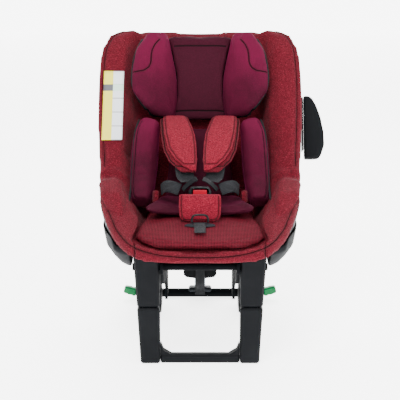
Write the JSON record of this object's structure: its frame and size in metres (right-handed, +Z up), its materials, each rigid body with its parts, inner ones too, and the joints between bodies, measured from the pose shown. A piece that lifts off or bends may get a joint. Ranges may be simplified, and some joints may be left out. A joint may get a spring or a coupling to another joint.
{
  "type": "convertible child car seat",
  "caption": "Child car seat: padded bucket with harness and sliding headrest, on a reclining base with a folding front support frame and rear anchor connectors.",
  "frame": {"origin": "middle of the foot bar's underside, on the plane that the seat stands on", "axes": "+Z up, the seat faces -Y, +Y to the rear"},
  "size_m": [0.5241, 0.542, 0.646],
  "materials": {
    "melange_fabric": "woven",
    "mesh_fabric": "mesh",
    "insert_fabric": "short pile",
    "webbing": "woven",
    "label_cloth": "flat",
    "foam": "moulded foam",
    "black_plastic": "matte",
    "grey_plastic": "matte",
    "green_plastic": "gloss",
    "red_plastic": "gloss",
    "zinc_steel": "zinc plated",
    "black_steel": "satin black"
  },
  "bodies": {
    "base": {"side_plate_left": "black_steel", "side_plate_right": "black_steel", "guide_rail_left": "black_plastic", "guide_rail_right": "black_plastic", "pivot_rod": "zinc_steel", "tie_rod": "zinc_steel"},
    "support_sleeves": {"leg_sleeve_left": "black_plastic", "leg_sleeve_right": "black_plastic"},
    "support_feet": {"leg_shoe_left": "black_plastic", "leg_shoe_right": "black_plastic", "leg_tube_left": "zinc_steel", "leg_tube_right": "zinc_steel", "foot_bar": "black_steel"},
    "anchor_frame": {"anchor_arm_left": "zinc_steel", "anchor_arm_right": "zinc_steel", "connector_left": "grey_plastic", "connector_right": "grey_plastic", "cross_bar": "black_steel", "bar_saddle": "grey_plastic", "lock_post": "zinc_steel", "lock_housing": "black_plastic", "release_strap": "webbing"},
    "tab_left": {"release_tab_left": "green_plastic"},
    "tab_right": {"release_tab_right": "green_plastic"},
    "seat": {"seat_shell": "black_plastic", "impact_liner": "foam", "shell_cover": "melange_fabric", "side_cheek_left": "black_plastic", "side_cheek_right": "black_plastic", "seat_cushion": "mesh_fabric", "insert_cushion": "insert_fabric", "insert_back": "insert_fabric", "insert_bolster_left": "insert_fabric", "insert_bolster_right": "insert_fabric", "shoulder_strap_left": "webbing", "shoulder_strap_right": "webbing", "shoulder_pad_left": "melange_fabric", "shoulder_pad_right": "melange_fabric", "hip_strap_left": "webbing", "hip_strap_right": "webbing", "belt_holder_left": "melange_fabric", "belt_holder_right": "melange_fabric", "buckle_tongue_left": "grey_plastic", "buckle_tongue_right": "grey_plastic", "buckle_body": "black_plastic", "crotch_strap": "webbing", "crotch_pad": "melange_fabric", "adjuster_bezel": "grey_plastic", "adjuster_strap": "webbing", "sewn_label": "label_cloth", "wing_bracket": "black_plastic"},
    "buckle_release": {"buckle_button": "red_plastic"},
    "adjuster_release": {"adjuster_lever": "black_plastic"},
    "headrest": {"headrest_shell": "black_plastic", "headrest_centre_pad": "insert_fabric", "headrest_wing_left": "insert_fabric", "headrest_wing_right": "insert_fabric"},
    "wing": {"side_wing": "black_plastic"}
  },
  "joints": [
    {"name": "support_fold", "type": "hinge", "parent": "base", "child": "support_sleeves", "pos_m": [0, 0, 0.208], "axis": [1, 0, 0], "range_deg": [0, 60]},
    {"name": "support_extend", "type": "slide", "parent": "support_sleeves", "child": "support_feet", "axis": [0, 0, -1], "range_m": [0, 0.08]},
    {"name": "anchor_extend", "type": "slide", "parent": "base", "child": "anchor_frame", "axis": [0, 1, 0], "range_m": [0, 0.05]},
    {"name": "tab_left_press", "type": "slide", "parent": "anchor_frame", "child": "tab_left", "axis": [0, -1, 0], "range_m": [0, 0.005], "stiffness_N_per_m": 600, "springref_m": -0.002},
    {"name": "tab_right_press", "type": "slide", "parent": "anchor_frame", "child": "tab_right", "axis": [0, -1, 0], "range_m": [0, 0.005], "stiffness_N_per_m": 600, "springref_m": -0.002},
    {"name": "recline", "type": "hinge", "parent": "base", "child": "seat", "pos_m": [0, 0.16, 0.62], "axis": [-1, 0, 0], "range_deg": [0, 12]},
    {"name": "buckle_press", "type": "slide", "parent": "seat", "child": "buckle_release", "axis": [0, 0.9766, -0.2149], "range_m": [0, 0.003], "stiffness_N_per_m": 800, "springref_m": -0.002},
    {"name": "adjuster_press", "type": "hinge", "parent": "seat", "child": "adjuster_release", "pos_m": [0, 0.0495, 0.2852], "axis": [1, 0, 0], "range_deg": [0, 15], "stiffness_Nm_per_rad": 0.05, "springref_deg": -11.46},
    {"name": "headrest_height", "type": "slide", "parent": "seat", "child": "headrest", "axis": [0, 0.3747, 0.9271], "range_m": [0, 0.12]},
    {"name": "wing_fold", "type": "hinge", "parent": "seat", "child": "wing", "pos_m": [0.24, 0.36705, 0.41524], "axis": [0, 0.3747, 0.9271], "range_deg": [-90, 0]}
  ]
}
